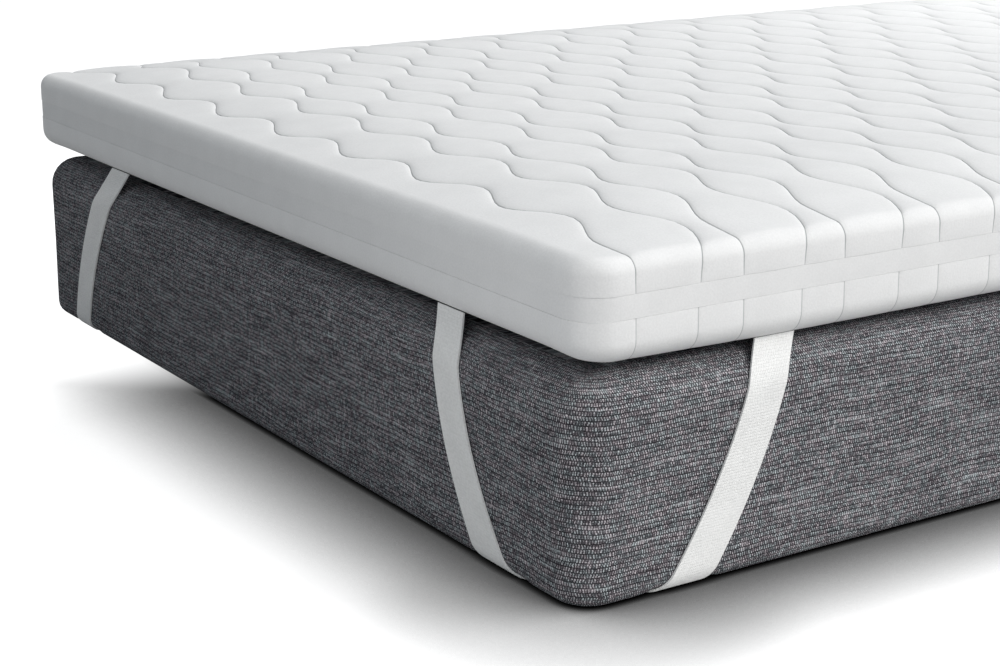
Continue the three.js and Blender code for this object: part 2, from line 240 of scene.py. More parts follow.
class Wiring:
    """Adds nodes to a tree and joins them."""

    def __init__(self, tree: bpy.types.NodeTree) -> None:
        """Keeps the tree that the nodes go in."""
        self.tree = tree

    def node(self, kind: str, inputs: dict[str, object] | None = None, **options: object) -> bpy.types.Node:
        """Adds a node.

        Args:
            kind: the node's type name, without the ShaderNode in front.
            inputs: a value or a socket for each named input.
            options: the node's own settings.

        Returns:
            The node.
        """
        made = self.tree.nodes.new(kind if kind.startswith("Node") else f"ShaderNode{kind}")
        for name, setting in options.items():
            setattr(made, name, setting)
        for name, value in (inputs or {}).items():
            self.feed(made.inputs[name], value)
        return made

    def feed(self, target: Socket, value: object) -> None:
        """Links a socket to the target, or sets its value.

        Args:
            target: the input to feed.
            value: a socket, or a plain value.
        """
        if isinstance(value, Socket):
            self.tree.links.new(value, target)
        else:
            target.default_value = value

    def math(self, operation: str, *values: Value) -> Socket:
        """One Math node.

        Args:
            operation: its operation, such as MULTIPLY.
            values: one to three numbers or sockets.

        Returns:
            The result's socket.
        """
        made = self.node("Math", operation=operation)
        for target, value in zip(made.inputs, values):
            self.feed(target, value)
        return made.outputs[0]

    def remap(self, value: Socket, span: tuple[float, float], to: tuple[float, float] = (0, 1)) -> Socket:
        """Maps a range of a value smoothly onto another.

        Args:
            value: the socket to map.
            span: the range that it comes from.
            to: the range that it goes to.

        Returns:
            The mapped value's socket.
        """
        made = self.node("MapRange", {"Value": value}, interpolation_type="SMOOTHSTEP")
        for name, number in zip(("From Min", "From Max", "To Min", "To Max"), (*span, *to)):
            made.inputs[name].default_value = number
        return made.outputs["Result"]

    def blend(self, share: Value, first: object, second: object, mode: str = "MIX") -> Socket:
        """Mixes two colours.

        Args:
            share: how much of the second is used.
            first: a colour or a socket.
            second: a colour or a socket.
            mode: the blend type.

        Returns:
            The mixed colour's socket.
        """
        made = self.node("Mix", data_type="RGBA", blend_type=mode)
        self.feed(made.inputs["Factor"], share)
        self.feed(made.inputs[6], first)
        self.feed(made.inputs[7], second)
        return made.outputs[2]

    def noise(self, place: Socket, scale: Value, detail: float = 2.0, roughness: float = 0.5) -> Socket:
        """A noise texture's value.

        Args:
            place: where it is read.
            scale: waves for each unit of the place.
            detail: its octaves.
            roughness: how strong the small ones are.

        Returns:
            A value from 0 to 1.
        """
        inputs = {"Vector": place, "Scale": scale, "Detail": detail, "Roughness": roughness}
        return self.node("TexNoise", inputs).outputs["Fac"]

    def plane(self, x: Socket, y: Socket) -> Socket:
        """A vector with the given X and Y, and no Z."""
        return self.node("CombineXYZ", {"X": x, "Y": y}).outputs[0]

    def arch(self, share: Socket) -> Socket:
        """A half wave: 0 where the share is 0 or 1, and 1 in the middle."""
        return self.math("SINE", self.math("MULTIPLY", share, math.pi))

    def weave(
        self, group: Group, place: Socket, row_pitch: float, yarn_pitch: float, wander: float
    ) -> bpy.types.bpy_prop_collection:
        """Places the weave group.

        Args:
            group: the group.
            place: where the pattern is read, in metres.
            row_pitch: the distance from row to row.
            yarn_pitch: the distance from yarn to yarn.
            wander: how far the rows go up and down.

        Returns:
            The group's outputs.
        """
        pitches = {"Row Pitch": row_pitch, "Yarn Pitch": yarn_pitch, "Wander": wander}
        return self.node("Group", {"Place": place} | pitches, node_tree=group).outputs


def new_group(name: str, inputs: dict[str, str], outputs: dict[str, str]) -> Group:
    """Makes an empty shader node group with named sockets.

    Args:
        name: the group's name.
        inputs: the socket type of each input.
        outputs: the socket type of each output.

    Returns:
        The group, holding its input and output nodes.
    """
    group = bpy.data.node_groups.new(name, "ShaderNodeTree")
    for direction, sockets in (("INPUT", inputs), ("OUTPUT", outputs)):
        for label, kind in sockets.items():
            group.interface.new_socket(name=label, in_out=direction, socket_type=kind)
    return group


# The weave's slow drift and fine shiver, how much the shiver moves rows and yarns in pitches, the
# length of its streaks and strands, and how far apart their noise is read from row to row.
DRIFT_SCALE, SHIVER_SCALE = 9.0, 240.0
ROW_SHIVER, YARN_SHIVER = 0.8, 1.2
STREAK_SCALE, STRAND_SCALE = 28.0, 60.0
ROW_STEP, STRAND_STEP = 7.31, 5.17


def weave_group() -> Group:
    """A plain weave: thick rows with dark gaps, and yarns that float over every other row.

    Returns:
        A group whose outputs are Row, from 0 in a gap to 1 on a row, Pair, the same for two rows
        that lie close together, Float, from 0 to 1 on a yarn that floats over its row, Cell, a
        random value for each float, Streak and Strand, random values along the rows and the
        yarns, and Height.
    """
    group = new_group(
        "PlainWeave",
        {"Place": "NodeSocketVector", "Row Pitch": "NodeSocketFloat", "Yarn Pitch": "NodeSocketFloat",
         "Wander": "NodeSocketFloat"},
        dict.fromkeys(("Row", "Pair", "Float", "Cell", "Streak", "Strand", "Height"), "NodeSocketFloat"),
    )
    wires = Wiring(group)
    given = wires.node("NodeGroupInput").outputs
    result = wires.node("NodeGroupOutput").inputs
    parts = wires.node("SeparateXYZ", {"Vector": given["Place"]}).outputs

    # The rows wander a little up and down, and each one starts its yarns somewhere else.
    drift = wires.math("SUBTRACT", wires.noise(given["Place"], DRIFT_SCALE, 2.0), 0.5)
    shiver = wires.math("SUBTRACT", wires.noise(given["Place"], SHIVER_SCALE, 2.0), 0.5)
    up = wires.math("MULTIPLY_ADD", drift, given["Wander"], parts["Y"])
    row_shiver = wires.math("MULTIPLY", given["Row Pitch"], ROW_SHIVER)
    up = wires.math("MULTIPLY_ADD", shiver, row_shiver, up)
    row = wires.math("DIVIDE", up, given["Row Pitch"])
    row_number = wires.math("FLOOR", row)
    row_share = wires.math("FRACT", row)
    row_random = wires.node("TexWhiteNoise", {"W": row_number}, noise_dimensions="1D").outputs["Value"]
    yarn_shiver = wires.math("MULTIPLY", given["Yarn Pitch"], YARN_SHIVER)
    sideways = wires.math("MULTIPLY_ADD", shiver, yarn_shiver, parts["X"])
    pair = wires.math("MULTIPLY", row, 0.5)
    pair_number = wires.math("FLOOR", pair)
    shift = wires.math("MULTIPLY_ADD", row_random, 0.3, wires.math("MULTIPLY", pair_number, 0.5))
    yarn = wires.math("ADD", wires.math("DIVIDE", sideways, given["Yarn Pitch"]), shift)
    yarn_number = wires.math("FLOOR", yarn)
    yarn_share = wires.math("FRACT", yarn)

    row_arch, yarn_arch = wires.arch(row_share), wires.arch(yarn_share)
    pair_arch = wires.arch(wires.math("FRACT", pair))
    on_row = wires.remap(row_arch, (0.0, 0.6))
    on_pair = wires.remap(pair_arch, (0.10, 0.50))
    raised = wires.remap(yarn_arch, (0.45, 0.95))
    floating = wires.math("MULTIPLY", raised, wires.remap(row_arch, (-0.6, 0.4)))
    floating = wires.math("MULTIPLY", floating, on_pair)

    cell_place = wires.plane(yarn_number, row_number)
    cell = wires.node("TexWhiteNoise", {"Vector": cell_place}, noise_dimensions="2D").outputs["Value"]
    streak_place = wires.plane(wires.math("MULTIPLY", parts["X"], STREAK_SCALE),
                               wires.math("MULTIPLY", row_number, ROW_STEP))
    strand_column = wires.math("FLOOR", wires.math("DIVIDE", sideways, given["Yarn Pitch"]))
    strand_place = wires.plane(wires.math("MULTIPLY", strand_column, STRAND_STEP),
                               wires.math("MULTIPLY", parts["Y"], STRAND_SCALE))
    height = wires.math("MULTIPLY_ADD", on_pair, 0.5, floating)
    streak, strand = wires.noise(streak_place, 1.0, 1.0), wires.noise(strand_place, 1.0, 0.0)
    found = {"Row": on_row, "Pair": on_pair, "Float": floating, "Cell": cell, "Streak": streak,
             "Strand": strand, "Height": height}
    for name, value in found.items():
        wires.feed(result[name], value)
    return group


def grain_group() -> Group:
    """The fine grain of a knitted or woven white cloth.

    Returns:
        A group whose outputs are Mottle, a soft change of tone from 0 to 1, and Height.
    """
    group = new_group(
        "ClothGrain",
        {"Place": "NodeSocketVector", "Grain": "NodeSocketFloat"},
        {"Mottle": "NodeSocketFloat", "Height": "NodeSocketFloat"},
    )
    wires = Wiring(group)
    given = wires.node("NodeGroupInput").outputs
    result = wires.node("NodeGroupOutput").inputs
    fine = wires.noise(given["Place"], given["Grain"], 3.0)
    broad = wires.noise(given["Place"], 40.0, 3.0)
    mottle = wires.math("MULTIPLY_ADD", fine, 0.6, wires.math("MULTIPLY", broad, 0.4))
    wires.feed(result["Mottle"], wires.remap(mottle, (0.3, 0.7)))
    wires.feed(result["Height"], fine)
    return group


@dataclass(frozen=True)
class Finish:
    """What every cloth finish has: a colour and a roughness."""

    name: str
    colour: tuple[float, float, float]
    roughness: float
    gloss: float = 0.25
    sheen: float = 0.0

    def start(self) -> tuple[Material, Wiring, bpy.types.Node]:
        """Makes the material.

        Returns:
            The material, its wiring and its Principled node.
        """
        material = bpy.data.materials.new(self.name)
        material.use_nodes = True
        material.diffuse_color = (*self.colour, 1.0)
        wires = Wiring(material.node_tree)
        shader = material.node_tree.nodes["Principled BSDF"]
        shader.inputs["Roughness"].default_value = self.roughness
        shader.inputs["Specular IOR Level"].default_value = self.gloss
        shader.inputs["Sheen Weight"].default_value = self.sheen
        return material, wires, shader

    def bump(self, wires: Wiring, shader: bpy.types.Node, height: Socket, depth: float) -> None:
        """Feeds a height in metres to the shader's normal.

        Args:
            wires: the material's wiring.
            shader: its Principled node.
            height: the height's socket, from 0 to about 1.
            depth: the depth of the relief in metres.
        """
        made = wires.node("Bump", {"Height": height, "Strength": 1.0, "Distance": depth})
        wires.feed(shader.inputs["Normal"], made.outputs["Normal"])


@dataclass(frozen=True)
class KnitFinish(Finish):
    """Fine white knit. Its sewn lines are darker: partly the thread, partly painted shade of the stitched
    creases.
    """

    shade: tuple[float, float, float] = (0.77, 0.77, 0.77)
    # Colour of the sewn lines: the thread's own, darkened further as painted shade in the stitched creases.
    thread_and_crease_shade: tuple[float, float, float] = (0.30, 0.31, 0.32)
    grain: float = 700.0
    relief: float = 0.12 * MM
    sewn: bool = True

    def material(self, grain: Group) -> Material:
        """Builds the material with the shared grain group.

        Args:
            grain: the grain group.

        Returns:
            The material.
        """
        material, wires, shader = self.start()
        place = wires.node("TexCoord").outputs["Object"]
        cloth = wires.node("Group", {"Place": place, "Grain": self.grain}, node_tree=grain)
        colour = wires.blend(cloth.outputs["Mottle"], (*self.shade, 1), (*self.colour, 1))
        if self.sewn:
            # The sewn lines take the thread colour, which also paints the creases' shade.
            seam = wires.node("Attribute", attribute_name="seam").outputs["Fac"]
            colour = wires.blend(wires.remap(seam, (0.2, 1.0)), colour, (*self.thread_and_crease_shade, 1))
        wires.feed(shader.inputs["Base Color"], colour)
        self.bump(wires, shader, cloth.outputs["Height"], self.relief)
        return material


@dataclass(frozen=True)
class WebbingFinish(Finish):
    """Flat white elastic webbing, with fine woven rows across it."""

    shade: tuple[float, float, float] = (0.85, 0.85, 0.84)
    row_pitch: float = 1.1 * MM
    yarn_pitch: float = 1.3 * MM
    grain: float = 450.0
    weave_share: float = 0.15
    mottle_share: float = 0.8
    relief: float = 0.15 * MM

    def material(self, grain: Group, weave: Group) -> Material:
        """Builds the material with the shared grain and weave groups.

        Args:
            grain: the grain group.
            weave: the weave group.

        Returns:
            The material.
        """
        material, wires, shader = self.start()
        place = wires.node("UVMap", uv_map="UVMap").outputs["UV"]
        woven = wires.weave(weave, place, self.row_pitch, self.yarn_pitch, 0.0)
        cloth = wires.node("Group", {"Place": place, "Grain": self.grain}, node_tree=grain).outputs
        tone = wires.math("MULTIPLY_ADD", woven["Height"], self.weave_share,
                          wires.math("MULTIPLY", cloth["Mottle"], self.mottle_share))
        colour = wires.blend(wires.remap(tone, (0.0, 0.9)), (*self.shade, 1), (*self.colour, 1))
        wires.feed(shader.inputs["Base Color"], colour)
        self.bump(wires, shader, wires.math("ADD", woven["Height"], cloth["Height"]), self.relief)
        return material


@dataclass(frozen=True)
class HeatherFinish(Finish):
    """A coarse upholstery weave of dark grey yarn with lighter slubs."""

    dark: tuple[float, float, float] = (0.035, 0.034, 0.038)
    light: tuple[float, float, float] = (0.60, 0.61, 0.62)
    cool: tuple[float, float, float] = (0.94, 1.02, 1.03)
    warm: tuple[float, float, float] = (1.06, 0.96, 0.99)
    row_pitch: float = 1.6 * MM
    yarn_pitch: float = 1.85 * MM
    wander: float = 9.0 * MM
    relief: float = 0.4 * MM
    fuzz_scale: float = 1400.0
    broken_scale: float = 90.0
    patch_scale: float = 170.0
    middle_step: float = 0.45
    base_tone: float = 0.21
    tick_tone: float = 0.70
    gap_tone: float = -0.05
    deep_gap_tone: float = -0.24
    streak_tone: float = 0.7
    fuzz_tone: float = 1.2
    slub_tone: float = 0.16
    strand_tone: float = 0.22

    def material(self, weave: Group) -> Material:
        """Builds the material with the shared weave group.

        Args:
            weave: the weave group.

        Returns:
            The material.
        """
        material, wires, shader = self.start()
        place = wires.node("UVMap", uv_map="UVMap").outputs["UV"]
        out = wires.weave(weave, place, self.row_pitch, self.yarn_pitch, self.wander)
        fuzz = wires.noise(place, self.fuzz_scale, 1.0)
        strength = wires.math("MULTIPLY_ADD", out["Cell"], 0.9, 0.35)
        tick = wires.math("MULTIPLY", out["Float"], strength)
        gap = wires.math("SUBTRACT", 1.0, out["Row"])
        broken = wires.remap(wires.noise(place, self.broken_scale, 2.0), (0.40, 0.62), (0.15, 1.0))
        deep_gap = wires.math("MULTIPLY", wires.math("SUBTRACT", 1.0, out["Pair"]), broken)
        slub = wires.remap(out["Streak"], (0.58, 0.78))
        strand = wires.remap(out["Strand"], (0.66, 0.80))
        tone = wires.math("MULTIPLY_ADD", tick, self.tick_tone, self.base_tone)
        for source, amount in ((gap, self.gap_tone), (deep_gap, self.deep_gap_tone)):
            tone = wires.math("MULTIPLY_ADD", source, amount, tone)
        for source, amount in ((out["Streak"], self.streak_tone), (fuzz, self.fuzz_tone)):
            tone = wires.math("MULTIPLY_ADD", wires.math("SUBTRACT", source, 0.5), amount, tone)
        for source, amount in ((slub, self.slub_tone), (strand, self.strand_tone)):
            tone = wires.math("MULTIPLY_ADD", source, amount, tone)
        ramp = wires.node("ValToRGB", {"Fac": tone})
        steps = ramp.color_ramp.elements
        steps[0].position, steps[0].color = 0.0, (*self.dark, 1)
        steps[1].position, steps[1].color = 1.0, (*self.light, 1)
        middle = steps.new(self.middle_step)
        middle.color = (*self.colour, 1)
        patch = wires.remap(wires.noise(place, self.patch_scale, 2.0), (0.35, 0.65))
        tint = wires.blend(patch, (*self.cool, 1), (*self.warm, 1))
        colour = wires.blend(1.0, ramp.outputs["Color"], tint, "MULTIPLY")
        wires.feed(shader.inputs["Base Color"], colour)
        self.bump(wires, shader, wires.math("MULTIPLY_ADD", fuzz, 0.5, out["Height"]), self.relief)
        return material


# The quilted pad.


@dataclass(frozen=True)
class QuiltLines:
    """The wavy sewn lines, in pairs whose waves are opposed."""

    length: float
    width: float
    pairs: int = 23
    pair_pitch: float = 84 * MM
    pair_gap: float = 49 * MM
    first_inset: float = 45.4 * MM
    sway: float = 9 * MM
    period: float = 106 * MM
    crest: float = 91 * MM
    straight_from: float = 38 * MM
    lean: float = 2.1 * MM
    drift: float = 2.2 * MM
    edge_inset: float = 16 * MM

    @property
    def count(self) -> int:
        """How many lines there are."""
        return 2 * self.pairs

    def swing(self, across: float) -> float:
        """The wave's share, from -1 to 1, at a distance from the long side at -Y."""
        return math.cos(2 * math.pi * (across - self.crest) / self.period)

    def place(self, line: int, across: float, below: float) -> float:
        """Where a line runs.

        Args:
            line: the line's number. -1 and count are the straight borders beside the lines.
            across: the distance from the long side at -Y, from 0 to the width.
            below: how far down the side the point is, below the turned edge.

        Returns:
            Its place along the bed.
        """
        if line < 0:
            return self.edge_inset - self.length / 2
        if line >= self.count:
            return self.length / 2 - self.edge_inset
        first = line % 2 == 0
        middle = self.first_inset - self.length / 2 + (line // 2) * self.pair_pitch
        middle += 0 if first else self.pair_gap
        turn = 1 if first else -1
        if first and across < self.straight_from:
            lean = self.lean * ease((self.straight_from - across + below) / (2 * self.straight_from))
            return middle - self.sway + lean
        side = self.drift * ease(below / (30 * MM))
        return middle + turn * self.sway * self.swing(across) - side


@dataclass(frozen=True)
class Column:
    """A column of the quilted mesh: one fixed beside a short side, or one between two lines."""

    line: int = -1
    share: float = 0.0
    fixed: float | None = None


@dataclass
class QuiltedTopper:
    """The padded body of the protector, with its lower cover and the groove for the side band."""

    length: float
    width: float
    underside: float
    corner_radius: float = 26 * MM
    least_radius: float = 18 * MM
    lower_seam: float = 187.2 * MM
    upper_seam: float = 202.5 * MM
    wall_top: float = 215 * MM
    turn_radius: float = 8.5 * MM
    border_inset: float = 18 * MM
    swell: float = 13.5 * MM
    swell_reach: float = 136 * MM
    rim_radius: float = 16 * MM
    rim_long: float = 155.8 * MM
    rim_lift: float = 2.2 * MM
    lift_reach: float = 180 * MM
    rim_short: float = 160.4 * MM
    corner_share: float = 0.6
    share_reach: float = 60 * MM
    slope_reach: float = 40 * MM
    crease: float = 1.2 * MM
    crease_reach: float = 1.7 * MM
    crown: float = 1.5 * MM
    crown_reach: float = 14 * MM
    notch: float = 0.9 * MM
    groove: float = 3.9 * MM
    # How strongly the sewn lines' darkening, thread with painted crease shade, shows on the walls.
    wall_seam: float = 0.75
    rows_per_period: int = 12
    edge_steps: tuple[float, ...] = (0.0, 0.014, 0.05, 0.1, 0.18, 0.27, 0.38, 0.5, 0.64, 0.8)
    shares: tuple[float, ...] = (0.0, 0.025, 0.07, 0.16, 0.32, 0.5, 0.68, 0.84, 0.93, 0.975)
    lines: QuiltLines = field(init=False)
    plan: RoundedPlan = field(init=False)

    def __post_init__(self) -> None:
        """Works out the lines and the outline."""
        self.lines = QuiltLines(self.length, self.width, edge_inset=self.border_inset)
        self.plan = RoundedPlan(self.length / 2, self.width / 2, self.corner_radius, self.least_radius)

    def columns(self) -> list[Column]:
        """The columns from the short side at -X to the other one.

        Returns:
            The columns in order.
        """
        insets = [step * self.border_inset for step in self.edge_steps]
        columns = [Column(fixed=inset - self.length / 2) for inset in insets]
        for line in range(-1, self.lines.count):
            columns += [Column(line, share) for share in self.shares]
        columns.append(Column(self.lines.count, 0.0))
        columns += [Column(fixed=self.length / 2 - inset) for inset in reversed(insets)]
        return columns

    def rows(self) -> list[float]:
        """The rows' distances from the long side at -Y.

        Returns:
            The distances in order, from 0 to the width.
        """
        insets = [step * self.border_inset for step in self.edge_steps]
        inner = self.width - 2 * self.border_inset
        count = round(inner / (self.lines.period / self.rows_per_period))
        middle = [self.border_inset + inner * step / count for step in range(count + 1)]
        return insets + middle + [self.width - inset for inset in reversed(insets)]

    def column_place(self, column: Column, across: float, below: float = 0.0) -> tuple[float, float]:
        """Where a column runs, and how far it is from the nearest sewn line.

        Args:
            column: the column.
            across: the distance from the long side at -Y.
            below: how far down the side the point is.

        Returns:
            Its place along the bed, and the distance from the line.
        """
        first = self.lines.place(0, across, below)
        last = self.lines.place(self.lines.count - 1, across, below)
        if column.fixed is not None:
            return column.fixed, max(first - column.fixed, column.fixed - last)
        left = self.lines.place(column.line, across, below)
        right = self.lines.place(column.line + 1, across, below)
        x = left + (right - left) * column.share
        from_left = x - left if column.line >= 0 else math.inf
        from_right = right - x if column.line + 1 < self.lines.count else math.inf
        return x, min(from_left, from_right, max(abs(first - x), abs(last - x)))

    def fullness(self, away: float) -> float:
        """How full the pad is at a distance from a sewn line, from 0 at the line to 1.

        Args:
            away: the distance from the line.

        Returns:
            The share.
        """
        sharp = 1 - math.exp(-away / self.crease_reach)
        soft = 1 - math.exp(-away / self.crown_reach)
        return (self.crease * sharp + self.crown * soft) / (self.crease + self.crown)

    def top_point(self, column: Column, across: float) -> Vector:
        """A point of the upper cover, above the wall.

        Args:
            column: its column.
            across: its distance from the long side at -Y.

        Returns:
            The point.
        """
        x, away = self.column_place(column, across)
        y = across - self.width / 2
        inset_x = self.length / 2 - abs(x)
        inset_y = self.width / 2 - abs(y)
        inset = min(inset_x, inset_y)
        share = clamp(inset / self.turn_radius, 0.0, 1.0)
        turn = self.turn_radius * math.sqrt(1 - (1 - share) ** 2)
        rise_x = math.sin(QUARTER * min(1.0, inset_x / self.swell_reach))
        rise_y = math.sin(QUARTER * min(1.0, inset_y / self.swell_reach))
        height = self.wall_top + turn + self.swell * rise_x * rise_y
        full = self.fullness(away)
        relief = lerp(-self.notch * (1 - full), (self.crease + self.crown) * full, share)
        flat_x, flat_y, outwards = self.plan.settle(x, y)
        normal = outwards * (1 - share) + Vector((0, 0, math.sqrt(1 - (1 - share) ** 2)))
        return Vector((flat_x, flat_y, height)) + normal * relief

    def wall_levels(self) -> list[tuple[float, float, float]]:
        """The rings below the turned edge.

        Returns:
            How far each ring is drawn in, its height on the long sides and on the short sides.
        """
        tuck = [(0.0, 0.05), (0.015, 0.01), (1.0, 0.01)]
        above = self.wall_top - self.upper_seam
        levels = [(self.groove * inwards, self.upper_seam + above * share) for inwards, share in tuck]
        tuck.reverse()
        levels += [(self.groove * inwards, self.lower_seam - above * share) for inwards, share in tuck]
        rings = [(inwards, height, height) for inwards, height in levels]
        for step in range(11):
            angle = QUARTER * step / 10
            inwards = self.rim_radius * (1 - math.cos(angle))
            rise = self.rim_radius * (1 - math.sin(angle))
            rings.append((inwards, self.rim_long + rise, self.rim_short + rise))
        return rings + [(self.slope_reach, self.underside, self.underside)]

    def wall_point(self, column: Column, across: float, ring: tuple[float, float, float]) -> Vector:
        """A point of the wall or the lower cover.

        Args:
            column: its column.
            across: its distance from the long side at -Y.
            ring: how far it is drawn in, and its height on the long and on the short sides.

        Returns:
            The point.
        """
        inwards, long_height, short_height = ring
        x, away = self.column_place(column, across, self.wall_top - long_height)
        y = across - self.width / 2
        on_long_side = across in (0.0, self.width)
        under = ease((self.lower_seam - long_height) / (self.lower_seam - self.underside))
        pull = self.notch * (1 - self.fullness(away)) if on_long_side else 0.0
        flat_x, flat_y, outwards = self.plan.settle(x, y, inwards + pull * (1 - under))
        lift = self.rim_lift * (1 - ease((self.length / 2 - abs(x)) / self.lift_reach))
        lowness = clamp((self.lower_seam - long_height) / (self.lower_seam - self.rim_long), 0.0, 1.0)
        lift *= lowness if long_height > self.underside else 0.0
        share = lerp(self.corner_share, 1.0, ease((self.width / 2 - abs(y)) / self.share_reach))
        height = lerp(long_height + lift, short_height, abs(outwards.x) * share)
        return Vector((flat_x, flat_y, height + pull * math.sin(math.pi * under)))

    def shape(self) -> Shape:
        """Builds the whole pad as one closed bmesh.

        Returns:
            The bmesh, with the sewn lines in its seam layer.
        """
        columns, rows = self.columns(), self.rows()
        shape = bmesh.new()
        last_column, last_row = len(columns) - 1, len(rows) - 1
        bmesh.ops.create_grid(shape, x_segments=last_column, y_segments=last_row, size=1)
        seam = shape.verts.layers.float.new("seam")
        grid: dict[tuple[int, int], Vert] = {}
        for vert in shape.verts:
            index = round((vert.co.x + 1) / 2 * last_column)
            row = round((vert.co.y + 1) / 2 * last_row)
            grid[index, row] = vert
            column = columns[index]
            sewn = 0 <= column.line < self.lines.count and column.share == 0 and column.fixed is None
            vert[seam] = 1.0 if sewn else 0.0
        for (index, row), vert in grid.items():
            vert.co = self.top_point(columns[index], rows[row])

        border = [(index, 0) for index in range(last_column)]
        border += [(last_column, row) for row in range(last_row)]
        border += [(index, last_row) for index in range(last_column, 0, -1)]
        border += [(0, row) for row in range(last_row, 0, -1)]
        loop = [grid[key] for key in border]
        for ring in self.wall_levels():
            fresh = extrude_loop(shape, loop)
            for vert, above, (index, row) in zip(fresh, loop, border):
                vert.co = self.wall_point(columns[index], rows[row], ring)
                vert[seam] = self.wall_seam * min(1.0, above[seam] / self.wall_seam)
            loop = fresh
        bmesh.ops.edgeloop_fill(shape, edges=loop_edges(shape, loop))
        bmesh.ops.recalc_face_normals(shape, faces=shape.faces)
        return shape

    def build(self, material: Material) -> Piece:
        """Builds, declares and returns the pad.

        Args:
            material: its finish.

        Returns:
            The pad's object.
        """
        piece = finish_mesh("topper_quilted", self.shape(), material)
        declare(piece, "quilted_topper")
        return piece


@dataclass
class SideBand:
    """The plain strip between the two seams of the pad."""

    plan: RoundedPlan
    low: float
    high: float
    set_back: float = 0.3 * MM
    thickness: float = 2.7 * MM
    bulge: float = 0.05 * MM
    segments: int = 720

    def outline(self, share: float) -> tuple[float, float]:
        """A point of the square outline, at a share of the way round it.

        Args:
            share: the share, from 0 to 1.

        Returns:
            The point's x and y.
        """
        side_x, side_y = self.plan.half_length, self.plan.half_width
        way = share * 4 * (side_x + side_y)
        if way < 2 * side_x:
            return way - side_x, -side_y
        way -= 2 * side_x
        if way < 2 * side_y:
            return side_x, way - side_y
        way -= 2 * side_y
        if way < 2 * side_x:
            return side_x - way, side_y
        return -side_x, side_y - (way - 2 * side_x)

    def build(self, material: Material, topper: Piece) -> Piece:
        """Args:
            material: its finish.
            topper: the pad that it is sewn to; not used.

        Returns:
            The band's object.
        """
        shape = bmesh.new()
        ring = bmesh.ops.create_circle(shape, segments=self.segments, radius=1.0)["verts"]
        corners = [self.outline(index / self.segments) for index in range(self.segments)]
        inner = self.set_back + self.thickness
        rise = self.high - self.low
        sections = [(self.set_back + self.bulge, self.low)]
        sections += [
            (self.set_back - self.bulge * math.sin(math.pi * step / 4), self.low + rise * step / 4)
            for step in (1, 2, 3)
        ]
        sections += [(self.set_back + self.bulge, self.high), (inner, self.high), (inner, self.low)]
        loop = ring
        first_edges = loop_edges(shape, ring)
        for number, (inwards, height) in enumerate(sections):
            loop = extrude_loop(shape, loop) if number else loop
            for vert, (x, y) in zip(loop, corners):
                flat_x, flat_y, _ = self.plan.settle(x, y, inwards)
                vert.co = Vector((flat_x, flat_y, height))
        bmesh.ops.bridge_loops(shape, edges=first_edges + loop_edges(shape, loop))
        bmesh.ops.recalc_face_normals(shape, faces=shape.faces)
        piece = finish_mesh("band_side", shape, material)
        declare(piece, "side_band")
        return piece


# The straps.


@dataclass(frozen=True)
class StrapLeg:
    """Distances of a strap's middle from the pad's corner, at four unrolled heights."""

    top: float
    high: float
    middle: float
    foot: float
    heights: tuple[float, ...] = (175 * MM, 130 * MM, 75 * MM, 15 * MM)

    def place(self, unrolled: float) -> tuple[float, float]:
        """The distance from the corner and its slope.

        Args:
            unrolled: the distance along the side from where the strap turns under.

        Returns:
            The distance in metres and the slope. It is a parabola through the three lower places,
            and above them a second one that goes on smoothly to the top place.
        """
        top, high, middle, foot = self.heights
        bent = min(unrolled, high)
        lower = (self.middle - self.foot) / (middle - foot)
        upper = (self.high - self.middle) / (high - middle)
        bend = (upper - lower) / (high - foot)
        offset = self.foot + (bent - foot) * (lower + bend * (bent - middle))
        slope = lower + bend * (2 * bent - middle - foot)
        beyond = unrolled - bent
        turn = (self.top - self.high - slope * (top - high)) / (top - high) ** 2
        return offset + beyond * (slope + turn * beyond), slope + 2 * turn * beyond


@dataclass(frozen=True)
class Station:
    """A cross section of a strap: its two edges on the inner face, and the way outwards."""

    beside: Vector
    away: Vector
    normal: Vector
    heading: Vector


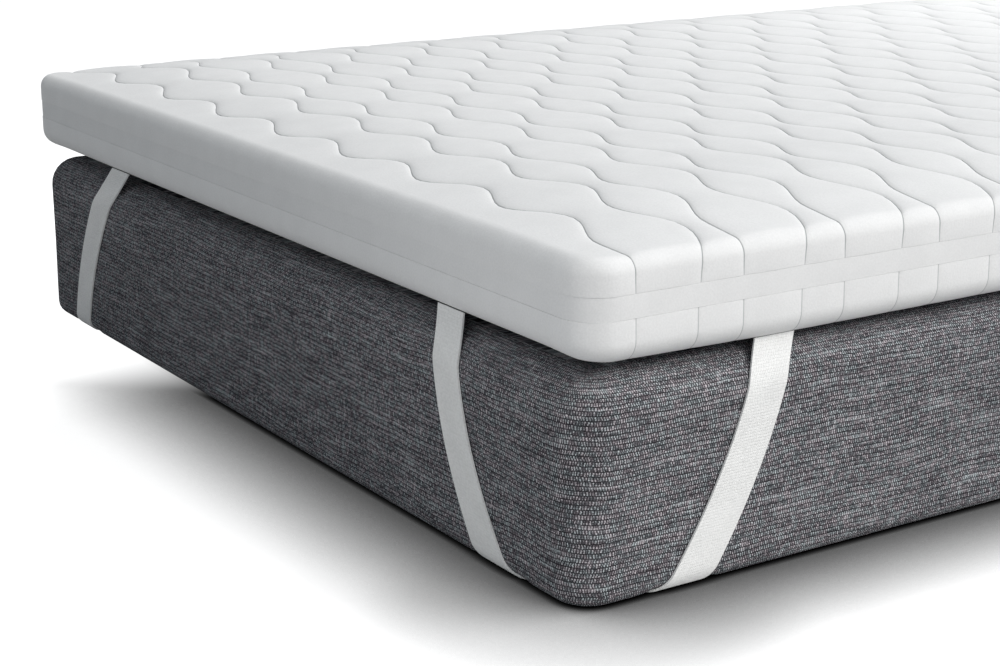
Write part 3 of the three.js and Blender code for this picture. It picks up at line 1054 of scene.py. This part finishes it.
@dataclass
class CornerStrap:
    """One elastic strap from the pad down a short side, under the corner and up a long side."""

    number: int
    side_x: int
    side_y: int
    short: StrapLeg
    long: StrapLeg
    half_length: float
    half_width: float
    mattress_height: float
    inset: dict[Axis, float]
    rise: dict[Axis, float]
    width: float = 30 * MM
    thickness: float = 1.5 * MM
    gap: float = 0.3 * MM
    top_radius: float = 25 * MM
    foot_radius: float = 12 * MM
    leave_angle: float = math.radians(72)
    across: int = 6
    upright_steps: int = 14
    foot_steps: int = 7
    under_steps: int = 16

    def section(self, axis: Axis) -> list[tuple[float, float, float, float]]:
        """The strap's way down one side.

        Args:
            axis: the side.

        Returns:
            For each station its inset, its height, and the outward and upward parts of its normal.
        """
        face = self.inset[axis]
        top, foot = self.top_radius + self.gap, self.foot_radius + self.gap
        top_z = self.mattress_height - self.top_radius
        foot_z = self.foot_radius + self.thickness + self.gap
        turned = []
        for step in range(4):
            angle = lerp(self.leave_angle, QUARTER, step / 3)
            centre = face + self.top_radius
            turned.append((centre - top * math.sin(angle), top_z + top * math.cos(angle),
                           math.sin(angle), math.cos(angle)))
        inset, height, out, up = turned[0]
        rise = self.rise[axis]
        rising = [
            (inset + rise * share * up, height + rise * share * out, out, up)
            for share in (1.0, 0.75, 0.5, 0.25)
        ]
        upright = [
            (face - self.gap, lerp(top_z, foot_z, step / self.upright_steps), 1.0, 0.0)
            for step in range(1, self.upright_steps)
        ]
        under = []
        for step in range(self.foot_steps + 1):
            angle = QUARTER * step / self.foot_steps
            under.append((face + self.foot_radius - foot * math.cos(angle), foot_z - foot * math.sin(angle),
                          math.cos(angle), -math.sin(angle)))
        return rising + turned + upright + under

    def leg(self, axis: Axis) -> list[Station]:
        """The stations of one leg, from the pad to the foot.

        Args:
            axis: the side that it lies on.

        Returns:
            The stations in order.
        """
        signs = Vector((self.side_x, self.side_y, 0))
        out = Vector((signs.x, 0, 0)) if axis is Axis.SHORT else Vector((0, signs.y, 0))
        along = out - signs
        corner = Vector((signs.x * self.half_length, signs.y * self.half_width, 0))
        places = self.short if axis is Axis.SHORT else self.long
        section = self.section(axis)
        unrolled = [0.0]
        for lower, upper in zip(reversed(section), list(reversed(section))[1:]):
            unrolled.append(unrolled[-1] + math.hypot(lower[0] - upper[0], lower[1] - upper[1]))
        stations = []
        for (inset, height, outward, upward), travel in zip(section, reversed(unrolled)):
            offset, slope = places.place(travel)
            reach = self.width / 2 * math.hypot(1, slope)
            base = corner - out * inset + Vector((0, 0, height))
            normal = out * outward + Vector((0, 0, upward))
            heading = (-out - along * slope).normalized()
            stations.append(Station(base + along * (offset - reach), base + along * (offset + reach),
                                    normal, heading))
        return stations

    def stations(self) -> list[Station]:
        """The stations of the whole strap.

        Returns:
            The stations, from the short side to the long side.
        """
        short, long = self.leg(Axis.SHORT), self.leg(Axis.LONG)
        start, end = short[-1], long[-1]
        under = []
        for step in range(1, self.under_steps):
            share = step / self.under_steps
            edges = []
            for name in ("beside", "away"):
                first, last = getattr(start, name), getattr(end, name)
                handle = (last - first).length / 3
                points = (first, first + start.heading * handle, last + end.heading * handle, last)
                weights = (
                    math.comb(3, power) * share**power * (1 - share) ** (3 - power) for power in range(4)
                )
                edges.append(sum((point * weight for point, weight in zip(points, weights)), Vector()))
            under.append(Station(*edges, Vector((0, 0, -1)), Vector()))
        return short + under + list(reversed(long))

    def build(self, material: Material) -> Piece:
        """Builds the strap: a strip bent along its stations, then given its thickness.

        Args:
            material: its finish.

        Returns:
            The strap's object.
        """
        stations = self.stations()
        last = len(stations) - 1
        shape = bmesh.new()
        bmesh.ops.create_grid(shape, x_segments=last, y_segments=self.across, size=1)
        ways = [0.0]
        for before, after in zip(stations, stations[1:]):
            middle = (before.beside + before.away) / 2 - (after.beside + after.away) / 2
            ways.append(ways[-1] + middle.length)
        uv = shape.loops.layers.uv.new("UVMap")
        numbers: dict[Vert, int] = {}
        places: dict[Vert, tuple[float, float]] = {}
        for vert in shape.verts:
            index = round((vert.co.x + 1) / 2 * last)
            share = (vert.co.y + 1) / 2
            station = stations[index]
            numbers[vert] = index
            places[vert] = (share * self.width, ways[index])
            vert.co = station.beside.lerp(station.away, share)
        for face in shape.faces:
            for loop in face.loops:
                loop[uv].uv = places[loop.vert]
        copies = bmesh.ops.duplicate(shape, geom=shape.verts[:] + shape.edges[:] + shape.faces[:])["vert_map"]
        for vert, index in numbers.items():
            copies[vert].co = vert.co + stations[index].normal * self.thickness
        rims = [edge for edge in shape.edges if edge.is_boundary]
        bmesh.ops.bridge_loops(shape, edges=rims)
        bmesh.ops.recalc_face_normals(shape, faces=shape.faces)
        piece = finish_mesh(f"strap_webbing_{self.number}", shape, material)
        declare(piece, f"strap_corner_{self.number}")
        return piece

    def trace(self) -> list[Vector]:
        """The middle of the strap where it turns and runs under the corner."""
        turned = [station for station in self.stations() if station.normal.z < 0]
        return [(station.beside + station.away) / 2 for station in turned]


# The mattress.


@dataclass
class CoveredMattress:
    """The plain mattress under the protector, in its heathered cover."""

    low: Vector
    high: Vector
    corner_radius: float = 28 * MM
    top_radius: float = 25 * MM
    foot_radius: float = 12 * MM
    fine_reach: float = 170 * MM
    fine_step: float = 9 * MM
    coarse_step: float = 45 * MM
    ripple: float = 0.7 * MM
    waves: tuple[tuple[float, float], ...] = ((23, 4), (41, -7))
    bed_depth: float = 1.9 * MM
    bed_half_width: float = 18 * MM
    bed_edge: float = 9 * MM
    middle: Vector = field(init=False)
    plan: RoundedPlan = field(init=False)

    def __post_init__(self) -> None:
        """Works out the middle and the outline round it."""
        half = (self.high - self.low) / 2
        self.middle = (self.high + self.low) / 2
        self.plan = RoundedPlan(half.x, half.y, self.corner_radius)

    def block(self) -> Shape:
        """The rounded block, with its middle over the origin.

        Returns:
            The block, not yet cut.
        """
        shape = bmesh.new()
        bmesh.ops.create_cube(shape, size=1.0)
        bmesh.ops.scale(shape, vec=self.high - self.low, verts=shape.verts)
        bmesh.ops.translate(shape, vec=Vector((0, 0, self.middle.z)), verts=shape.verts)
        upright = [edge for edge in shape.edges if abs(edge.verts[0].co.z - edge.verts[1].co.z) > MM]
        self.round_off(shape, upright, self.corner_radius, 12)
        rims = ((self.high.z, self.top_radius, 7), (self.low.z, self.foot_radius, 5))
        for height, radius, segments in rims:
            rim = [edge for edge in shape.edges if all(abs(vert.co.z - height) < MM for vert in edge.verts)]
            self.round_off(shape, rim, radius, segments)
        return shape

    @staticmethod
    def round_off(shape: Shape, edges: list[Edge], radius: float, segments: int) -> None:
        """Rounds edges with the given radius and number of segments."""
        bmesh.ops.bevel(shape, geom=edges, offset=radius, offset_type="OFFSET", affect="EDGES",
                        segments=segments, profile=0.5, material=-1, clamp_overlap=True)

    def cuts(self, reach: float) -> list[float]:
        """The planes that cut the block along one axis.

        Args:
            reach: the half size of the block along that axis.

        Returns:
            Their places, close together near the corners.
        """
        places = []
        place = reach - self.corner_radius
        while place > 0:
            places += [place, -place]
            place -= self.fine_step if place > reach - self.fine_reach else self.coarse_step
        return places

    def cut(self, shape: Shape) -> None:
        """Cuts the block's faces along X, Y and Z.

        Args:
            shape: the block.
        """
        planes = [(Vector((place, 0, 0)), Vector((1, 0, 0))) for place in self.cuts(self.plan.half_length)]
        planes += [(Vector((0, place, 0)), Vector((0, 1, 0))) for place in self.cuts(self.plan.half_width)]
        bottom, top = self.low.z + self.foot_radius, self.high.z - self.top_radius
        planes += [(Vector((0, 0, lerp(bottom, top, step / 10))), Vector((0, 0, 1))) for step in range(1, 10)]
        for place, normal in planes:
            geometry = shape.verts[:] + shape.edges[:] + shape.faces[:]
            bmesh.ops.bisect_plane(shape, geom=geometry, dist=1e-6, plane_co=place, plane_no=normal)

    def soften(self, shape: Shape, traces: list[list[Vector]]) -> None:
        """Lets the cover ripple a little, and presses the straps' beds into its foot.

        Args:
            shape: the block.
            traces: the middle line of each strap under the mattress.
        """
        level = Vector((self.middle.x, self.middle.y, 0))
        moved = [[point - level for point in trace] for trace in traces]
        lines = [list(zip(trace, trace[1:])) for trace in moved]
        for vert in shape.verts:
            around = self.plan.along(vert.co.x, vert.co.y)
            core_x, core_y = self.plan.core(vert.co.x, vert.co.y)
            outwards = Vector((vert.co.x - core_x, vert.co.y - core_y, 0))
            height = (vert.co.z - self.low.z) / (self.high.z - self.low.z)
            if outwards.length > 1e-6 and 0.05 < height < 0.95:
                wave = sum(math.sin(around * along + height * up) for along, up in self.waves)
                amount = self.ripple * (0.25 * wave + 0.5) * math.sin(math.pi * height)
                vert.co -= outwards.normalized() * amount
            if vert.co.z < self.low.z + 2 * self.foot_radius:
                self.press(vert, lines)

    def press(self, vert: Vert, lines: list[list[tuple[Vector, Vector]]]) -> None:
        """Lifts a vertex of the foot where a strap presses into it.

        Args:
            vert: the vertex.
            lines: the pieces of each strap's middle line.
        """
        flat = Vector((vert.co.x, vert.co.y, 0))
        nearest = min(
            (flat - self.nearest_on(first, second, flat)).length for line in lines for first, second in line
        )
        hold = 1 - ease((nearest - self.bed_half_width) / self.bed_edge)
        fade = 1 - ease((vert.co.z - self.low.z) / (2 * self.foot_radius))
        vert.co.z += self.bed_depth * hold * fade

    @staticmethod
    def nearest_on(first: Vector, second: Vector, point: Vector) -> Vector:
        """The point of a segment, in plan, that is nearest to a point.

        Args:
            first: one end of the segment.
            second: its other end.
            point: the point.

        Returns:
            The nearest point.
        """
        start, end = Vector((first.x, first.y, 0)), Vector((second.x, second.y, 0))
        way = end - start
        share = clamp((point - start).dot(way) / max(way.length_squared, 1e-12), 0.0, 1.0)
        return start + way * share

    def unroll(self, shape: Shape) -> None:
        """Gives the cover its UV map: the way round the outline, and the way up the side.

        Args:
            shape: the block.
        """
        uv = shape.loops.layers.uv.new("UVMap")
        around = 2 * self.plan.along(self.plan.half_length, 0.0)
        for face in shape.faces:
            places = []
            for loop in face.loops:
                point = loop.vert.co
                core_x, core_y = self.plan.core(point.x, point.y)
                inset = self.corner_radius - math.hypot(point.x - core_x, point.y - core_y)
                way = point.z + (inset if point.z > self.middle.z else -inset)
                places.append([self.plan.along(point.x, point.y), way])
            widest = max(place[0] for place in places)
            for loop, place in zip(face.loops, places):
                lap = around if widest - place[0] > around / 2 else 0.0
                loop[uv].uv = (place[0] + lap, place[1])

    def build(self, material: Material, straps: list[CornerStrap]) -> Piece:
        """Args:
            material: its finish.
            straps: the straps that press into its foot.

        Returns:
            The mattress's object.
        """
        shape = self.block()
        self.cut(shape)
        self.soften(shape, [strap.trace() for strap in straps])
        bmesh.ops.recalc_face_normals(shape, faces=shape.faces)
        self.unroll(shape)
        bmesh.ops.translate(shape, vec=Vector((self.middle.x, self.middle.y, 0)), verts=shape.verts)
        piece = finish_mesh("mattress_covered", shape, material)
        declare(piece, "mattress")
        return piece


# The studio.


@dataclass(frozen=True)
class Lamp:
    """A square lamp: where it hangs, the point that it faces, its side and its watts."""

    name: str
    place: Vector
    aim: Vector
    size: float
    power: float


LAMPS = (
    Lamp("side_light", Vector((2.6, -2.0, 3.2)), Vector((-0.5, -0.1, 0.2)), 2.4, 112.0),
    Lamp("overhead", Vector((0.3, 0.3, 0.8)), Vector((0.2, 0.25, 0.2)), 0.6, 1.4),
    Lamp("corner_fill", Vector((-1.40, -0.47, 0.30)), Vector((-1.0, -0.40, 0.15)), 0.25, 0.36),
)


@dataclass(frozen=True)
class Studio:
    """A plain pale floor with a painted contact shadow, soft light from above and from the long side, and the
    camera.
    """

    eye: Vector = Vector((-1.6756, -1.3915, 0.5104))
    yaw: float = math.radians(56.819)
    pitch: float = math.radians(-15.748)
    roll: float = math.radians(0.09)
    focal_mm: float = 73.07
    sensor_mm: float = 36.0
    sun_direction: Vector = Vector((0.18, -0.76, 0.62))
    sun_factor: float = 0.53
    sun_angle: float = math.radians(35)
    sky_factor: float = 0.295
    sky_colour: tuple[float, float, float] = (0.93, 1.0, 1.06)
    sun_colour: tuple[float, float, float] = (1.0, 0.98, 0.955)
    floor_size: float = 30.0
    # The floor's painted contact shadow: ambient occlusion, raised to a power, darkens its colour and glow
    # where the camera sees it. The shadow reaches further at the left end and round the near corner, and
    # fades out towards the far left corner, where fade_glow brightens the floor again.
    floor_bounce: float = 0.50
    floor_glow: float = 0.72
    fade_glow: float = 0.35
    shadow_reach: float = 0.11
    left_spread: float = 0.12
    corner_spread: float = 0.45
    shadow_power: float = 3.3
    spread_along: tuple[float, float] = (-1.05, -0.98)
    corner_reach: tuple[float, float] = (0.04, 0.16)
    fade_along: tuple[float, float] = (-0.90, -0.60)
    fade_across: tuple[float, float] = (0.08, 0.26)
    near_corner: Vector = Vector((-1.0, -0.45, 0.0))

    def camera(self) -> None:
        """Places the camera."""
        data = bpy.data.cameras.new("camera")
        data.lens, data.sensor_width, data.sensor_fit = self.focal_mm, self.sensor_mm, "HORIZONTAL"
        data.clip_end = 100
        level = math.cos(self.pitch)
        forward = Vector((level * math.cos(self.yaw), level * math.sin(self.yaw), math.sin(self.pitch)))
        turned = forward.to_track_quat("-Z", "Y").to_matrix() @ Matrix.Rotation(self.roll, 3, "Z")
        place = Matrix.Translation(self.eye) @ turned.to_4x4()
        bpy.context.scene.camera = self.hang("camera", data, place)

    def sun(self) -> None:
        """Adds the soft key light."""
        data = bpy.data.lights.new("key", "SUN")
        data.energy = math.pi * self.sun_factor
        data.color = self.sun_colour
        data.angle = self.sun_angle
        self.hang("key", data, self.sun_direction.to_track_quat("Z", "Y").to_matrix().to_4x4())

    def hang(self, name: str, data: bpy.types.ID, place: Matrix) -> Piece:
        """Makes an object of a lamp's or a camera's data, and puts it in its place.

        Args:
            name: its name.
            data: the lamp or the camera.
            place: its place and turn.

        Returns:
            The object.
        """
        made = bpy.data.objects.new(name, data)
        made.matrix_world = place
        bpy.context.scene.collection.objects.link(made)
        return made

    def lamp(self, lamp: Lamp) -> None:
        """Adds a square lamp that the camera doesn't see.

        Args:
            lamp: its row of the table.
        """
        data = bpy.data.lights.new(lamp.name, "AREA")
        data.size, data.energy = lamp.size, lamp.power
        turned = (lamp.place - lamp.aim).to_track_quat("Z", "Y").to_matrix().to_4x4()
        self.hang(lamp.name, data, Matrix.Translation(lamp.place) @ turned).visible_camera = False

    def world(self) -> None:
        """A dim even sky that the camera sees as white."""
        world = bpy.data.worlds.new("studio")
        world.use_nodes = True
        bpy.context.scene.world = world
        wires = Wiring(world.node_tree)
        background = world.node_tree.nodes["Background"]
        path = wires.node("LightPath").outputs
        seen = wires.math("MAXIMUM", path["Is Camera Ray"],
                          wires.math("MAXIMUM", path["Is Glossy Ray"], path["Is Transmission Ray"]))
        wires.feed(background.inputs["Color"], wires.blend(seen, (*self.sky_colour, 1), (1, 1, 1, 1)))
        strength = wires.math("MULTIPLY_ADD", seen, 1 - self.sky_factor, self.sky_factor)
        wires.feed(background.inputs["Strength"], strength)

    def floor(self) -> None:
        """A plain floor that is white away from the object, with the object's contact shadow painted into its
        colour and glow from ambient occlusion.
        """
        shape = bmesh.new()
        bmesh.ops.create_grid(shape, x_segments=1, y_segments=1, size=self.floor_size)
        material = bpy.data.materials.new("floor")
        material.use_nodes = True
        wires = Wiring(material.node_tree)
        shader = material.node_tree.nodes["Principled BSDF"]
        path = wires.node("LightPath").outputs
        seen = path["Is Camera Ray"]
        shader.inputs["Roughness"].default_value = 1.0
        shader.inputs["Specular IOR Level"].default_value = 0.0
        place = wires.node("TexCoord").outputs["Object"]
        from_corner = wires.node("VectorMath", operation="DISTANCE")
        wires.feed(from_corner.inputs[0], place)
        wires.feed(from_corner.inputs[1], self.near_corner)
        parts = wires.node("SeparateXYZ", {"Vector": place}).outputs
        spread = wires.remap(parts["X"], self.spread_along, (1 + self.left_spread, 1.0))
        away = from_corner.outputs["Value"]
        at_corner = wires.remap(away, self.corner_reach, (self.corner_spread, 0.0))
        reach = wires.math("MULTIPLY", wires.math("ADD", spread, at_corner), self.shadow_reach)
        # Painted shadow: the occlusion near the object darkens the floor's colour and glow for camera rays.
        near = wires.node("AmbientOcclusion", {"Distance": reach}, samples=16).outputs["AO"]
        # The painted shadow fades out towards the far left corner.
        fade = wires.math("MULTIPLY", wires.remap(parts["X"], self.fade_along, (1.0, 0.0)),
                          wires.remap(parts["Y"], self.fade_across))
        painted_lit = wires.math("MAXIMUM", wires.math("POWER", near, self.shadow_power), fade)
        bounce = (self.floor_bounce, self.floor_bounce, self.floor_bounce, 1)
        colour = wires.blend(seen, bounce, wires.blend(painted_lit, (0, 0, 0, 1), bounce))
        wires.feed(shader.inputs["Base Color"], colour)
        shader.inputs["Emission Color"].default_value = (1, 1, 1, 1)
        glow = wires.math("MULTIPLY_ADD", fade, self.fade_glow, wires.math("MULTIPLY", painted_lit, self.floor_glow))
        wires.feed(shader.inputs["Emission Strength"], wires.math("MULTIPLY", seen, glow))
        floor = finish_mesh("floor", shape, material)

    def build(self) -> None:
        """Sets up the whole studio."""
        self.camera()
        self.sun()
        for lamp in LAMPS:
            self.lamp(lamp)
        self.world()
        self.floor()
        bpy.context.scene.view_settings.view_transform = "Standard"


# All of it.


def straps_of(half_length: float, half_width: float, low: Vector, high: Vector) -> list[CornerStrap]:
    """The four straps, each with its own slant.

    Args:
        half_length: half the pad's length.
        half_width: half its width.
        low: the low corner of the mattress's box.
        high: its high corner.

    Returns:
        The straps, numbered from 1.
    """
    # The sides along X and Y, then the short and the long leg's places in millimetres, top to foot.
    table = (
        (-1, -1, (164.5, 152.5, 136, 100), (161.5, 144, 122.5, 88)),
        (-1, 1, (190, 160, 126.5, 105), (162, 145, 122, 92)),
        (1, 1, (169, 150, 126, 98), (162, 145, 122, 92)),
        (1, -1, (171, 155, 132, 100), (158, 143, 121, 89)),
    )
    straps = []
    for number, (side_x, side_y, short, long) in enumerate(table, start=1):
        near = side_y < 0
        legs = [StrapLeg(*(value * MM for value in places)) for places in (short, long)]
        long_inset = half_width + low.y if near else half_width - high.y
        inset = {Axis.SHORT: half_length - high.x, Axis.LONG: long_inset}
        rise = {Axis.SHORT: RISE_SHORT, Axis.LONG: RISE_NEAR if near else RISE_FAR}
        sizes = (half_length, half_width, high.z, inset, rise)
        straps.append(CornerStrap(number, side_x, side_y, *legs, *sizes))
    return straps


def main() -> None:
    """Builds every piece in order."""
    logging.basicConfig(level=logging.INFO, format="%(message)s")
    weave, grain = weave_group(), grain_group()
    knit = KnitFinish("knit_white", (0.83, 0.83, 0.83), 0.8, gloss=0.5, sheen=0.1).material(grain)
    band_knit = KnitFinish("band_white", (0.82, 0.82, 0.82), 0.9, sewn=False).material(grain)
    webbing = WebbingFinish("webbing_white", (0.95, 0.95, 0.94), 0.8, sheen=0.1).material(grain, weave)
    heather = HeatherFinish("heather_grey", (0.140, 0.137, 0.148), 0.95, gloss=0.0).material(weave)

    low, high = box_of("quilted_topper")
    topper = QuiltedTopper(high.x - low.x, high.y - low.y, low.z)
    pad = topper.build(knit)
    band_low, band_high = box_of("side_band")
    SideBand(topper.plan, band_low.z, band_high.z).build(band_knit, pad)

    mattress_low, mattress_high = box_of("mattress")
    straps = straps_of(high.x, high.y, mattress_low, mattress_high)
    CoveredMattress(mattress_low, mattress_high).build(heather, straps)
    for strap in straps:
        strap.build(webbing)
    Studio().build()


if __name__ == "__main__":
    main()
